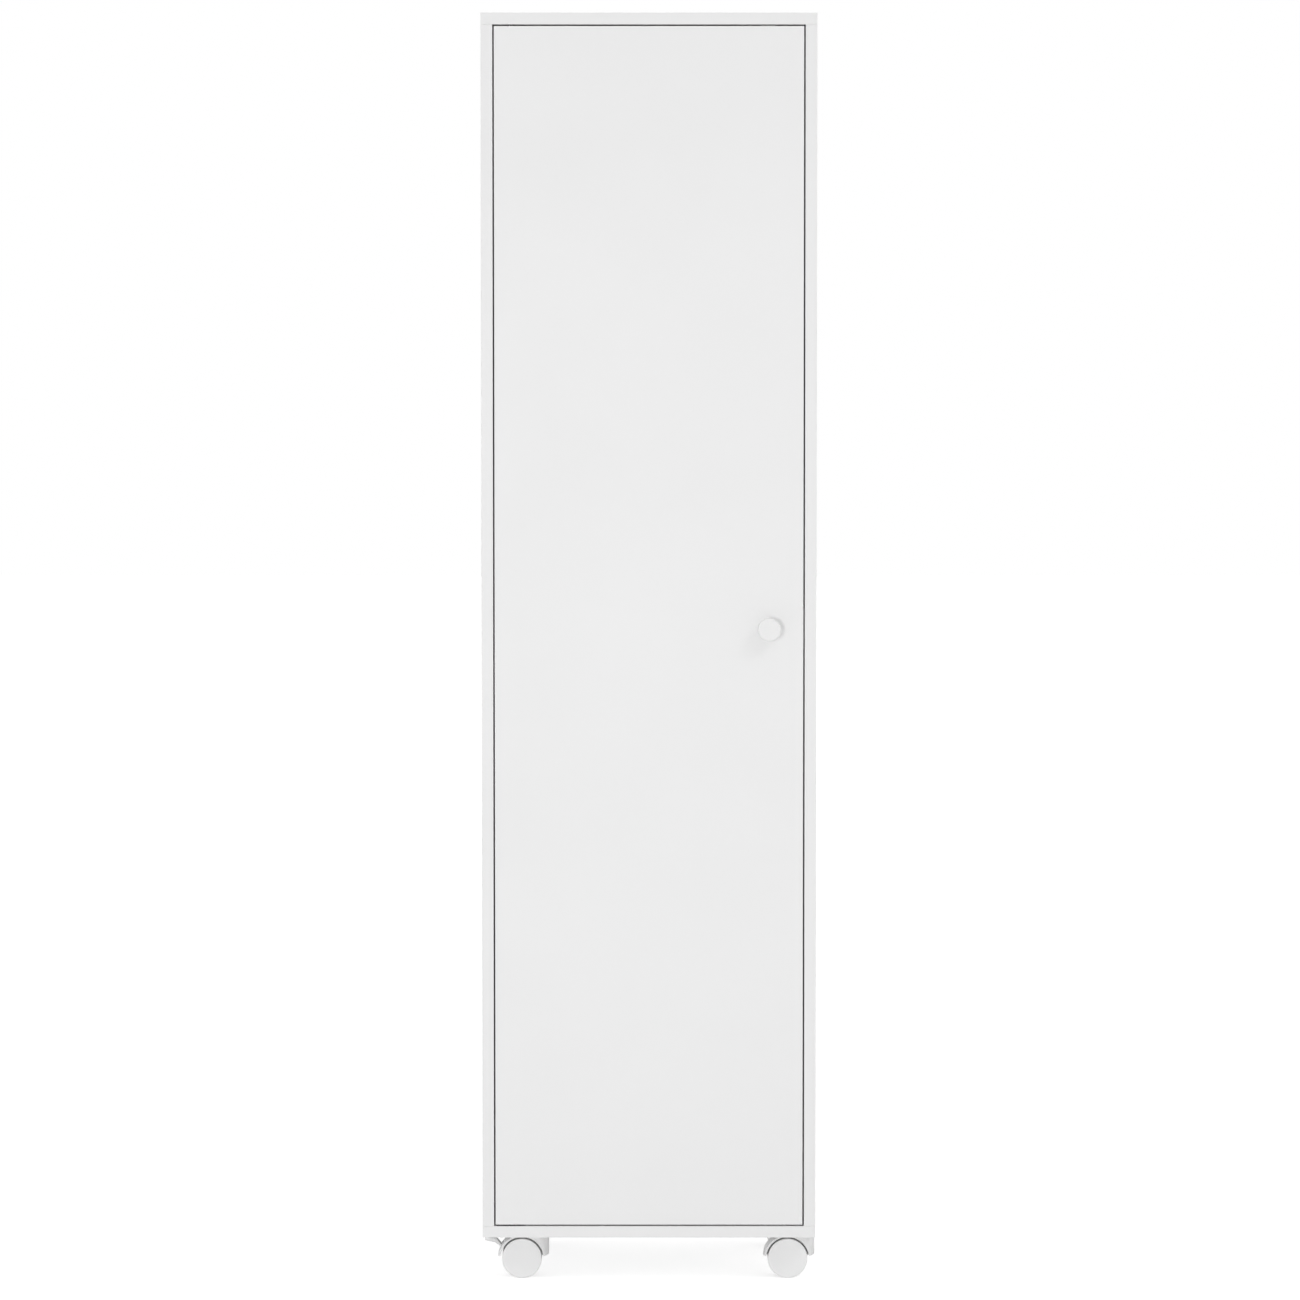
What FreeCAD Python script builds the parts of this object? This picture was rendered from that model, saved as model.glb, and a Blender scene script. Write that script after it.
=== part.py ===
import FreeCAD, Part
import math
import os
import re

import Sketcher
from FreeCAD import Rotation, Vector

# Broom cupboard: a tall narrow cabinet with one inset door, on four twin-wheel castors.
# The boards are butt-jointed with dowels and cam fittings. +Z is up, the front faces -Y,
# and the origin is on the floor under the middle of the whole object.

# Driving dimensions, in millimetres and degrees
SIZES = {
    # carcass
    "carcass_width": 460,
    "carcass_height": 1685,
    "carcass_depth": 380,
    "board": 16,
    "edge_round": 0.6,
    "back_thickness": 3,
    "back_inset": 10,
    "groove_depth": 6,
    "groove_play": 0.5,
    # dowels, cams and connecting bolts
    "dowel_diameter": 8,
    "dowel_in_board": 10,
    "dowel_in_side": 22,
    "dowel_inset": 50,
    "cam_diameter": 15,
    "cam_depth": 12,
    "cam_distance": 34,
    "cam_inset": 88,
    "bolt_diameter": 6,
    "bolt_in_board": 11,
    # shelf and hook rail
    "shelf_height": 1380,
    "shelf_setback": 30,
    "shelf_play": 1,
    "peg_diameter": 5,
    "peg_in_side": 10,
    "peg_under_shelf": 8,
    "peg_inset": 45,
    "rail_height": 60,
    "rail_drop": 60,
    "hook_rod": 5,
    "hook_reach": 45,
    "hook_bend": 9,
    "hook_tip": 16,
    "hook_in_rail": 12,
    "hook_rose": 16,
    "hook_rose_thickness": 2,
    # door
    "door_thickness": 16,
    "door_gap": 2,
    "door_round": 0.8,
    # pivot hinges
    "pivot_from_edge": 22,
    "pivot_from_face": 7,
    "pivot_pin": 5,
    "pivot_reach": 12,
    "running_play": 0.03,
    "bush_diameter": 9,
    "bush_length": 14,
    "washer_play": 0.3,
    "plate_length": 40,
    "plate_width": 12,
    "plate_thickness": 2,
    "plate_screw_spacing": 28,
    # knob
    "knob_diameter": 32,
    "knob_projection": 24,
    "knob_head": 9,
    "knob_taper": 7,
    "knob_neck": 17,
    "knob_round": 2.5,
    "knob_from_edge": 47,
    "knob_screw_depth": 14,
    "machine_screw": 4,
    "machine_head": 9,
    "machine_head_height": 2.5,
    # magnetic catch and door stops
    "catch_width": 15,
    "catch_length": 34,
    "catch_foot_length": 58,
    "catch_foot_thickness": 4,
    "catch_body_depth": 14,
    "catch_air": 0.3,
    "magnet_width": 8,
    "magnet_length": 26,
    "magnet_depth": 10,
    "strike_thickness": 1.5,
    "strike_width": 12,
    "strike_length": 44,
    "strike_screw_spacing": 34,
    "stop_width": 20,
    "stop_height": 12,
    "stop_depth": 14,
    "stop_from_side": 40,
    "buffer_diameter": 9,
    "buffer_height": 2.5,
    "buffer_air": 0.3,
    # small wood screws
    "screw_shank": 3,
    "screw_head": 6,
    "screw_head_height": 2,
    "screw_in_wood": 10,
    # castors, measured from the swivel axis and the underside of the carcass
    "castor_height": 62.5,
    "castor_side_inset": 45.5,
    "castor_end_inset": 59,
    "castor_plate": 42,
    "castor_plate_round": 5,
    "castor_plate_thickness": 2.5,
    "castor_screw_spacing": 30,
    "castor_screw_shank": 4,
    "castor_screw_head": 8,
    "castor_screw_length": 14,
    "kingpin_diameter": 7,
    "kingpin_reach": 25,
    "collar_diameter": 15,
    "collar_thickness": 1.2,
    "collar_play": 0.3,
    "wheel_diameter": 55,
    "wheel_width": 16,
    "wheel_web": 1.7,
    "wheel_rim": 5,
    "wheel_recess": 11,
    "wheel_hub": 18,
    "wheel_round": 1.2,
    "wheel_trail": 8,
    "wheel_gap": 14,
    "axle_diameter": 6,
    "axle_chamfer": 0.5,
    "hood_width": 44,
    "hood_web": 12.4,
    "hood_play": 1,
    "hood_radius": 34,
    "rim_radius": 32,
    "rim_play": 2.2,
    "hood_tip": 2.9,
    "hood_tail": 37.5,
    "hood_tail_round": 14,
    "hood_tail_below": 0.6,
    "hood_tail_slope": 17,
    "hood_top_drop": 3.2,
    "axle_boss": 20,
    # brake lever
    "lever_width": 20,
    "lever_reach": 51.8,
    "lever_drop": 7.3,
    "lever_thickness": 4.4,
    "lever_bend": 37.8,
    "lever_fall": 3.1,
    "lever_neck": 36,
    "lever_play": 0.5,
    "trunnion_diameter": 2.4,
    "trunnion_length": 27,
    "trunnion_radius": 31.3,
    "trunnion_angle": 150,
    "shoe_inner": 29.8,
    "shoe_outer": 32.6,
    "shoe_angle": 171,
}

doc = FreeCAD.newDocument("broom_cupboard")
sheet = doc.addObject("Spreadsheet::Sheet", "Dims")
for row, (alias, value) in enumerate(SIZES.items(), start=1):
    sheet.set(f"A{row}", alias)
    sheet.set(f"B{row}", str(value))
    sheet.setAlias(f"B{row}", alias)
doc.recompute()

# Places worked out from the driving dimensions, as formulas on the sheet
FRONT = "((knob_projection - carcass_depth) / 2)"
REAR = f"({FRONT} + carcass_depth)"
LEFT = "(-carcass_width / 2)"
RIGHT = "(carcass_width / 2)"
INNER_LEFT = f"({LEFT} + board)"
INNER_RIGHT = f"({RIGHT} - board)"
INNER_WIDTH = "(carcass_width - 2 * board)"
FLOOR_BOARD = "(castor_height + board)"
CEILING = "(castor_height + carcass_height - board)"
SIDE_HEIGHT = "(carcass_height - 2 * board)"
BACK_FACE = f"({REAR} - back_inset - back_thickness)"
DOOR_LEFT = f"({INNER_LEFT} + door_gap)"
DOOR_RIGHT = f"({INNER_RIGHT} - door_gap)"
DOOR_BOTTOM = f"({FLOOR_BOARD} + door_gap)"
DOOR_TOP = f"({CEILING} - door_gap)"
DOOR_BACK = f"({FRONT} + door_thickness)"
PIVOT_X = f"({DOOR_LEFT} + pivot_from_edge)"
PIVOT_Y = f"({FRONT} + pivot_from_face)"
MIDDLE = "(castor_height + carcass_height / 2)"
SHELF_BOTTOM = f"({FLOOR_BOARD} + shelf_height)"
SHELF_FRONT = f"({DOOR_BACK} + shelf_setback)"
WHEEL_DROP = "(castor_height - wheel_diameter / 2)"

DIRECTIONS = {
    "+x": Vector(1, 0, 0),
    "-x": Vector(-1, 0, 0),
    "+y": Vector(0, 1, 0),
    "-y": Vector(0, -1, 0),
    "+z": Vector(0, 0, 1),
    "-z": Vector(0, 0, -1),
}
PLANES = {"xy": "XY_Plane", "yz": "YZ_Plane", "xz": "XZ_Plane"}
ORIGIN = -1


def formula(text):
    """The text with each size name pointing at its cell."""
    return re.sub(r"[a-z_]+", lambda word: "Dims." + word[0] if word[0] in SIZES else word[0], str(text))


def bind(item, **sizes):
    for name, text in sizes.items():
        item.setExpression(name, formula(text))


def place(item, x, y, z):
    for axis, text in (("x", x), ("y", y), ("z", z)):
        item.setExpression(f"Placement.Base.{axis}", formula(text))


# Part workbench shapes

def block(name, size, corner):
    item = doc.addObject("Part::Box", name)
    bind(item, Length=size[0], Width=size[1], Height=size[2])
    place(item, *corner)
    return item


def rod(name, diameter, length, start, along):
    item = doc.addObject("Part::Cylinder", name)
    item.Placement.Rotation = Rotation(Vector(0, 0, 1), DIRECTIONS[along])
    bind(item, Radius=f"({diameter}) / 2", Height=length)
    place(item, *start)
    return item


def taper(name, start_diameter, end_diameter, length, start, along):
    item = doc.addObject("Part::Cone", name)
    item.Placement.Rotation = Rotation(Vector(0, 0, 1), DIRECTIONS[along])
    bind(item, Radius1=f"({start_diameter}) / 2", Radius2=f"({end_diameter}) / 2", Height=length)
    place(item, *start)
    return item


def fuse(name, *parts):
    item = doc.addObject("Part::MultiFuse", name)
    item.Shapes = list(parts)
    return item


def overlap(name, *parts):
    item = doc.addObject("Part::MultiCommon", name)
    item.Shapes = list(parts)
    return item


def cut(name, base, *tools):
    """The base less each tool in turn. The last cut carries the name."""
    for tool in tools:
        step = doc.addObject("Part::Cut", name)
        step.Base = base
        step.Tool = tool
        base = step
    return base


def group(name, parts):
    item = doc.addObject("Part::Compound", name)
    item.Links = list(parts)
    return item


# PartDesign shapes

def new_body(name, x="0", y="0", z="0"):
    body = doc.addObject("PartDesign::Body", name)
    place(body, x, y, z)
    return body


def sketch_on(body, plane, offset="0"):
    sketch = body.newObject("Sketcher::SketchObject", f"{body.Name}_sketch")
    support = next(item for item in body.Origin.OriginFeatures if item.Role == PLANES[plane])
    sketch.AttachmentSupport = [(support, "")]
    sketch.MapMode = "FlatFace"
    sketch.setExpression("AttachmentOffset.Base.z", formula(offset))
    return sketch


def hold_start(sketch, index, across, up, near_x, near_y):
    """Holds the start of one line or arc from the sketch's origin by two formulas."""
    for kind, text, near in (("DistanceX", across, near_x), ("DistanceY", up, near_y)):
        row = sketch.addConstraint(Sketcher.Constraint(kind, ORIGIN, 1, index, 1, near))
        sketch.setExpression(f"Constraints[{row}]", formula(text))


def draw_outline(sketch, points):
    """A closed outline of straight lines, each corner held from the sketch's origin by two formulas."""
    count = len(points)
    for index in range(count):
        turn = 2 * math.pi * index / count
        following = 2 * math.pi * (index + 1) / count
        start = Vector(math.cos(turn), math.sin(turn), 0)
        end = Vector(math.cos(following), math.sin(following), 0)
        sketch.addGeometry(Part.LineSegment(start, end), False)
    for index in range(count):
        sketch.addConstraint(Sketcher.Constraint("Coincident", index, 2, (index + 1) % count, 1))
    for index, (across, up) in enumerate(points):
        hold_start(sketch, index, across, up, 1.0, 1.0)


def pad(body, sketch, length, side="One side", reverse=False):
    feature = body.newObject("PartDesign::Pad", f"{body.Name}_pad")
    feature.Profile = sketch
    feature.SideType = side
    feature.Reversed = reverse
    bind(feature, Length=length)
    return feature


def pocket(body, sketch, length, reverse=False):
    """A pocket, with a check that it takes something away."""
    doc.recompute()
    before = body.Shape.Volume
    feature = body.newObject("PartDesign::Pocket", f"{body.Name}_pocket")
    feature.Profile = sketch
    feature.Reversed = reverse
    bind(feature, Length=length)
    doc.recompute()
    if body.Shape.Volume >= before:
        raise RuntimeError(f"{feature.Name} cuts nothing")
    return feature


def round_edges(body, feature, radius):
    """A fillet on every edge of the feature."""
    doc.recompute()
    edges = [f"Edge{number}" for number in range(1, len(feature.Shape.Edges) + 1)]
    item = body.newObject("PartDesign::Fillet", f"{body.Name}_fillet")
    item.Base = (feature, edges)
    bind(item, Radius=radius)
    body.Tip = item
    return item


def panel(name, plane, width, height, thickness, corner, radius):
    """A flat board: a rectangle drawn on its own plane, padded to its thickness, with eased edges."""
    body = new_body(name, *corner)
    sketch = sketch_on(body, plane)
    draw_outline(sketch, [("0", "0"), (width, "0"), (width, height), ("0", height)])
    solid = pad(body, sketch, thickness, reverse=(plane == "xz"))
    round_edges(body, solid, radius)
    return body


def groove(body, plane, offset, low, high, reverse):
    """The groove for the back panel, cut into a board's inner face. low and high are its corners."""
    sketch = sketch_on(body, plane, offset)
    draw_outline(sketch, [low, (high[0], low[1]), high, (low[0], high[1])])
    pocket(body, sketch, "groove_depth", reverse)


def wood_screw(name, start, along, back):
    """A countersunk wood screw. start is the middle of its head, which lies flush."""
    step = DIRECTIONS[along]
    head_end = [f"{text} + ({value}) * screw_head_height" for text, value in zip(start, step)]
    head = taper(f"{name}_head", "screw_head", "screw_shank", "screw_head_height", start, along)
    shank_length = f"{back} + screw_in_wood - screw_head_height"
    shank = rod(f"{name}_shank", "screw_shank", shank_length, head_end, along)
    return fuse(name, head, shank)


def pan_screw(name, start, along, through):
    """A pan-head wood screw. start is the middle of the seat under its head."""
    step = DIRECTIONS[along]
    head_top = [f"{text} - ({value}) * screw_head_height" for text, value in zip(start, step)]
    head = rod(f"{name}_head", "screw_head", "screw_head_height", head_top, along)
    shank = rod(f"{name}_shank", "screw_shank", f"{through} + screw_in_wood", start, along)
    return fuse(name, head, shank)


nodes = {}


def keep(name, item):
    """Registers a finished sub-part under the name of its file."""
    item.Label = name
    nodes[name] = item


# Dowels: beech pegs in the board joints and at the ends of the hook rail
RAIL_TOP = f"({SHELF_BOTTOM} - rail_drop)"
RAIL_FRONT = f"({BACK_FACE} - board)"
SIDE_MIDDLES = {"left": f"({LEFT} + board / 2)", "right": f"({RIGHT} - board / 2)"}
DOWEL_LENGTH = "dowel_in_board + dowel_in_side"
dowels = []
for side, middle in SIDE_MIDDLES.items():
    for y in (f"{FRONT} + dowel_inset", f"{REAR} - dowel_inset"):
        low = (middle, y, f"{FLOOR_BOARD} - dowel_in_board")
        high = (middle, y, f"{CEILING} - dowel_in_side")
        dowels.append(rod("low_dowel", "dowel_diameter", DOWEL_LENGTH, low, "+z"))
        dowels.append(rod("high_dowel", "dowel_diameter", DOWEL_LENGTH, high, "+z"))
for quarter in ("1 / 4", "3 / 4"):
    z = f"{RAIL_TOP} - rail_height * {quarter}"
    left_start = (f"{INNER_LEFT} - dowel_in_board", f"{RAIL_FRONT} + board / 2", z)
    right_start = (f"{INNER_RIGHT} - dowel_in_side", f"{RAIL_FRONT} + board / 2", z)
    dowels.append(rod("rail_dowel", "dowel_diameter", DOWEL_LENGTH, left_start, "+x"))
    dowels.append(rod("rail_dowel", "dowel_diameter", DOWEL_LENGTH, right_start, "+x"))
dowel_group = group("dowels", dowels)
keep("dowels", dowel_group)

# Cam fittings: a bolt stands in the top or bottom board, and a cam in the side board grips it
bolts = []
cam_blanks = []
for side, inner, outward in (("left", INNER_LEFT, "-x"), ("right", INNER_RIGHT, "+x")):
    for y in (f"({FRONT} + cam_inset)", f"({REAR} - cam_inset)"):
        length = "bolt_in_board + cam_distance"
        low = (SIDE_MIDDLES[side], y, f"{FLOOR_BOARD} - bolt_in_board")
        high = (SIDE_MIDDLES[side], y, f"{CEILING} - cam_distance")
        bolts.append(rod("low_bolt", "bolt_diameter", length, low, "+z"))
        bolts.append(rod("high_bolt", "bolt_diameter", length, high, "+z"))
        for z in (f"{FLOOR_BOARD} + cam_distance", f"{CEILING} - cam_distance"):
            cam_blanks.append(rod("cam_blank", "cam_diameter", "cam_depth", (inner, y, z), outward))
bolt_group = group("connecting_bolts", bolts)
cam_blank_group = group("cam_blanks", cam_blanks)
keep("connecting_bolts", bolt_group)
keep("cam_locks", cut("cam_locks", cam_blank_group, bolt_group))

# Pivot hinges: a plate let into the board above and below the door, a pin in it, a bush in the door
pivot = {}
for end, face, up, sign in (("bottom", FLOOR_BOARD, "+z", "1"), ("top", CEILING, "-z", "-1")):
    plate_low = face if sign == "-1" else f"({face} - plate_thickness)"
    plate_blank = block(
        f"{end}_plate_blank",
        ("plate_length", "plate_width", "plate_thickness"),
        (f"{PIVOT_X} - plate_length / 2", f"{PIVOT_Y} - plate_width / 2", plate_low),
    )
    pin_start = (PIVOT_X, PIVOT_Y, f"{face} - {sign} * plate_thickness")
    pin = rod(f"{end}_pivot_pin", "pivot_pin", "plate_thickness + door_gap + pivot_reach", pin_start, up)
    door_edge = f"{face} + {sign} * door_gap"
    bush_blank = rod(f"{end}_bush_blank", "bush_diameter", "bush_length", (PIVOT_X, PIVOT_Y, door_edge), up)
    bore = rod(
        f"{end}_bush_bore",
        "pivot_pin + 2 * running_play",
        "pivot_reach + washer_play",
        (PIVOT_X, PIVOT_Y, door_edge),
        up,
    )
    into_board = "-z" if up == "+z" else "+z"
    screws = []
    for way in ("-1", "1"):
        head = (f"{PIVOT_X} + {way} * plate_screw_spacing / 2", PIVOT_Y, face)
        screws.append(wood_screw(f"{end}_plate_screw", head, into_board, "plate_thickness"))
    pivot[end] = {"plate": plate_blank, "bush": bush_blank, "screws": group(f"{end}_screws", screws)}
    keep(f"{end}_pivot_pin", pin)
    keep(f"{end}_pivot_plate", cut(f"{end}_pivot_plate", plate_blank, pin, pivot[end]["screws"]))
    keep(f"{end}_pivot_bush", cut(f"{end}_pivot_bush", bush_blank, bore))
plate_screws = group("pivot_screws", [pivot["bottom"]["screws"], pivot["top"]["screws"]])
keep("pivot_screws", plate_screws)

# Thrust washer: carries the door on the lower pin
washer_blank = rod(
    "washer_blank", "bush_diameter", "door_gap - washer_play", (PIVOT_X, PIVOT_Y, FLOOR_BOARD), "+z"
)
keep("thrust_washer", cut("thrust_washer", washer_blank, nodes["bottom_pivot_pin"]))

# Castor screws: four countersunk screws hold each castor plate to the bottom board
CASTORS = {
    "front_left": ("-1", f"({FRONT} + castor_end_inset)"),
    "front_right": ("1", f"({FRONT} + castor_end_inset)"),
    "rear_left": ("-1", f"({REAR} - castor_end_inset)"),
    "rear_right": ("1", f"({REAR} - castor_end_inset)"),
}
BRAKED = ("front_left", "rear_right")
SWIVEL_X = "(carcass_width / 2 - castor_side_inset)"
PLATE_UNDER = "(castor_height - castor_plate_thickness)"
HEAD_HEIGHT = "(castor_screw_head - castor_screw_shank) / 2"


def castor_screw(x, y):
    head = taper(
        "castor_screw_head", "castor_screw_head", "castor_screw_shank", HEAD_HEIGHT,
        (x, y, PLATE_UNDER), "+z",
    )
    shank_start = (x, y, f"{PLATE_UNDER} + {HEAD_HEIGHT}")
    length = f"castor_screw_length - {HEAD_HEIGHT}"
    shank = rod("castor_screw_shank", "castor_screw_shank", length, shank_start, "+z")
    return fuse("castor_screw", head, shank)


screws_at = {}
for corner, (side, y) in CASTORS.items():
    screws_at[corner] = group(f"castor_screws_{corner}", [
        castor_screw(f"{side} * {SWIVEL_X} + {across} * castor_screw_spacing / 2",
                     f"{y} + {along} * castor_screw_spacing / 2")
        for across in ("-1", "1") for along in ("-1", "1")
    ])
castor_screws = group("castor_screws", list(screws_at.values()))
keep("castor_screws", castor_screws)

# Top and bottom boards: full width, over and under the sides
GROOVE_LOW = "carcass_depth - back_inset - back_thickness"
GROOVE_HIGH = "carcass_depth - back_inset"
bottom_blank = panel(
    "bottom_blank", "xy", "carcass_width", "carcass_depth", "board",
    (LEFT, FRONT, "castor_height"), "edge_round",
)
top_blank = panel(
    "top_blank", "xy", "carcass_width", "carcass_depth", "board", (LEFT, FRONT, CEILING), "edge_round"
)
groove_ends = (("board - groove_depth", GROOVE_LOW), ("carcass_width - board + groove_depth", GROOVE_HIGH))
groove(bottom_blank, "xy", "board", *groove_ends, reverse=False)
groove(top_blank, "xy", "0", *groove_ends, reverse=True)

# Side boards: between the top and bottom boards, each with a groove down its inner face
side_blanks = {}
for side, x in (("left", LEFT), ("right", INNER_RIGHT)):
    blank = panel(
        f"{side}_blank", "yz", "carcass_depth", SIDE_HEIGHT, "board", (x, FRONT, FLOOR_BOARD), "edge_round"
    )
    inner_offset = "board" if side == "left" else "0"
    upright_ends = ((GROOVE_LOW, "0"), (GROOVE_HIGH, SIDE_HEIGHT))
    groove(blank, "yz", inner_offset, *upright_ends, reverse=(side == "right"))
    side_blanks[side] = blank

# Back panel: thin hardboard that sits in the grooves
PANEL_WIDTH = f"{INNER_WIDTH} + 2 * (groove_depth - groove_play)"
PANEL_HEIGHT = f"{SIDE_HEIGHT} + 2 * (groove_depth - groove_play)"
back_start = "- groove_depth + groove_play"
back_corner = (f"{INNER_LEFT} {back_start}", BACK_FACE, f"{FLOOR_BOARD} {back_start}")
back_panel = new_body("back_panel", *back_corner)
back_sketch = sketch_on(back_panel, "xz")
draw_outline(back_sketch, [("0", "0"), (PANEL_WIDTH, "0"), (PANEL_WIDTH, PANEL_HEIGHT), ("0", PANEL_HEIGHT)])
pad(back_panel, back_sketch, "back_thickness", reverse=True)
keep("back_panel", back_panel)

# Shelf pegs: two in each side board, with the shelf resting on them
pegs = []
for inner, way, along in ((INNER_LEFT, "-1", "+x"), (INNER_RIGHT, "1", "-x")):
    for y in (f"{SHELF_FRONT} + peg_inset", f"{BACK_FACE} - peg_inset"):
        start = (f"{inner} + {way} * peg_in_side", y, f"{SHELF_BOTTOM} - peg_diameter / 2")
        pegs.append(rod("shelf_peg", "peg_diameter", "peg_in_side + peg_under_shelf", start, along))
peg_group = group("shelf_pegs", pegs)
keep("shelf_pegs", peg_group)

# Upper shelf: loose on its pegs, set back behind the door
shelf_corner = (f"{INNER_LEFT} + shelf_play", SHELF_FRONT, SHELF_BOTTOM)
SHELF_WIDTH = f"{INNER_WIDTH} - 2 * shelf_play"
SHELF_DEPTH = f"{BACK_FACE} - {SHELF_FRONT} - shelf_play"
keep("upper_shelf", panel(
    "upper_shelf", "xy", SHELF_WIDTH, SHELF_DEPTH, "board", shelf_corner, "edge_round",
))

# Hook rail: a batten between the sides below the shelf, with screw-in hooks for broom handles
rail_corner = (INNER_LEFT, RAIL_FRONT, f"{RAIL_TOP} - rail_height")
rail_blank = panel("rail_blank", "xz", INNER_WIDTH, "rail_height", "board", rail_corner, "edge_round")
hooks = []
HOOK_Z = f"({RAIL_TOP} - rail_height / 2)"
BEND_Y = f"({RAIL_FRONT} - hook_reach)"
for share in ("-1 / 4", "0", "1 / 4"):
    x = f"{share} * {INNER_WIDTH}"
    arm = rod("hook_arm", "hook_rod", "hook_in_rail + hook_reach", (x, BEND_Y, HOOK_Z), "+y")
    rose = rod("hook_rose", "hook_rose", "hook_rose_thickness", (x, RAIL_FRONT, HOOK_Z), "-y")
    bend = doc.addObject("Part::Torus", "hook_bend")
    bind(bend, Radius1="hook_bend", Radius2="hook_rod / 2")
    bend.Angle3 = 90
    bend.Placement.Rotation = Rotation(Vector(0, -1, 0), Vector(0, 0, -1), Vector(1, 0, 0), "XYZ")
    place(bend, x, BEND_Y, f"{HOOK_Z} + hook_bend")
    tip_start = (x, f"{BEND_Y} - hook_bend", f"{HOOK_Z} + hook_bend")
    tip = rod("hook_tip", "hook_rod", "hook_tip", tip_start, "+z")
    round_end = doc.addObject("Part::Sphere", "hook_end")
    bind(round_end, Radius="hook_rod / 2")
    place(round_end, x, f"{BEND_Y} - hook_bend", f"{HOOK_Z} + hook_bend + hook_tip")
    hooks.append(fuse("broom_hook", arm, rose, bend, tip, round_end))
hook_group = group("broom_hooks", hooks)
keep("broom_hooks", hook_group)
keep("hook_rail", cut("hook_rail", rail_blank, dowel_group, hook_group))

# Magnetic catch: a plastic housing on the right side board, level with the knob
CATCH_RIGHT = INNER_RIGHT
CATCH_FRONT = f"({DOOR_BACK} + strike_thickness + catch_air)"
foot = block(
    "catch_foot",
    ("catch_foot_thickness", "catch_body_depth", "catch_foot_length"),
    (f"{CATCH_RIGHT} - catch_foot_thickness", CATCH_FRONT, f"{MIDDLE} - catch_foot_length / 2"),
)
shell = block(
    "catch_shell",
    ("catch_width", "catch_body_depth", "catch_length"),
    (f"{CATCH_RIGHT} - catch_width", CATCH_FRONT, f"{MIDDLE} - catch_length / 2"),
)
magnet = block(
    "catch_magnet",
    ("magnet_width", "magnet_depth", "magnet_length"),
    (f"{CATCH_RIGHT} - (catch_width + magnet_width) / 2", CATCH_FRONT, f"{MIDDLE} - magnet_length / 2"),
)
keep("catch_magnet", magnet)
pan_screws = []
for way in ("-1", "1"):
    z = f"{MIDDLE} + {way} * (catch_foot_length + catch_length) / 4"
    seat = (f"{CATCH_RIGHT} - catch_foot_thickness", f"{CATCH_FRONT} + catch_body_depth / 2", z)
    pan_screws.append(pan_screw("catch_screw", seat, "+x", "catch_foot_thickness"))
catch_screws = group("catch_screws", pan_screws)
keep("catch_screws", catch_screws)
keep("catch_housing", cut("catch_housing", fuse("catch_blank", foot, shell), magnet, catch_screws))

# Strike plate: steel, screwed to the back of the door in front of the magnet
strike_x = f"({CATCH_RIGHT} - catch_width / 2)"
strike_blank = block(
    "strike_blank",
    ("strike_width", "strike_thickness", "strike_length"),
    (f"{strike_x} - strike_width / 2", DOOR_BACK, f"{MIDDLE} - strike_length / 2"),
)
strike_list = []
for way in ("-1", "1"):
    seat = (strike_x, f"({DOOR_BACK} + strike_thickness)", f"({MIDDLE} + {way} * strike_screw_spacing / 2)")
    strike_list.append(wood_screw("strike_screw", seat, "-y", "strike_thickness"))
strike_screws = group("strike_screws", strike_list)
keep("strike_screws", strike_screws)
keep("strike_plate", cut("strike_plate", strike_blank, strike_screws))

# Door stops: a block above and below behind the free side of the door, each with a rubber buffer
stop_blanks = []
buffers = []
stop_list = []
STOP_FRONT = f"({DOOR_BACK} + buffer_air + buffer_height)"
STOP_LEFT = f"({INNER_RIGHT} - stop_from_side - stop_width)"
for low, middle_z, start, along in (
    (FLOOR_BOARD, f"{FLOOR_BOARD} + stop_height / 2", f"{FLOOR_BOARD} + stop_height", "-z"),
    (f"{CEILING} - stop_height", f"{CEILING} - stop_height / 2", f"{CEILING} - stop_height", "+z"),
):
    stop_size = ("stop_width", "stop_depth", "stop_height")
    stop_blanks.append(block("stop_blank", stop_size, (STOP_LEFT, STOP_FRONT, low)))
    middle = (f"{STOP_LEFT} + stop_width / 2", STOP_FRONT, middle_z)
    buffers.append(rod("buffer", "buffer_diameter", "buffer_height", middle, "-y"))
    seat = (f"{STOP_LEFT} + stop_width / 2", f"{STOP_FRONT} + stop_depth / 2", start)
    stop_list.append(pan_screw("stop_screw", seat, along, "stop_height"))
stop_screws = group("stop_screws", stop_list)
keep("stop_screws", stop_screws)
keep("door_buffers", group("door_buffers", buffers))
keep("door_stops", cut("door_stops", group("stop_blanks", stop_blanks), stop_screws))

# Boards with the holes of everything that is let into them
keep("bottom_board", cut(
    "bottom_board", bottom_blank, dowel_group, bolt_group, castor_screws,
    pivot["bottom"]["plate"], pivot["bottom"]["screws"], stop_screws,
))
keep("top_board", cut(
    "top_board", top_blank, dowel_group, bolt_group, pivot["top"]["plate"], pivot["top"]["screws"],
    stop_screws,
))
for side, blank in side_blanks.items():
    tools = [dowel_group, bolt_group, cam_blank_group, peg_group]
    if side == "right":
        tools.append(catch_screws)
    keep(f"{side}_side", cut(f"{side}_side", blank, *tools))

# Knob: turned wood, held from the back of the door by one machine screw
KNOB_X = f"({DOOR_RIGHT} - knob_from_edge)"
neck_length = "knob_projection - knob_head - knob_taper"
taper_start = f"{FRONT} - knob_projection + knob_head + knob_taper"
head_start = f"{FRONT} - knob_projection + knob_head"
neck = rod("knob_neck", "knob_neck", neck_length, (KNOB_X, FRONT, MIDDLE), "-y")
flare = taper("knob_flare", "knob_neck", "knob_diameter", "knob_taper", (KNOB_X, taper_start, MIDDLE), "-y")
head = rod("knob_head", "knob_diameter", "knob_head", (KNOB_X, head_start, MIDDLE), "-y")
doc.recompute()
front_edge = min(
    range(len(head.Shape.Edges)),
    key=lambda index: head.Shape.Edges[index].BoundBox.YMax,
)
rounded_head = doc.addObject("Part::Fillet", "knob_rounded_head")
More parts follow.
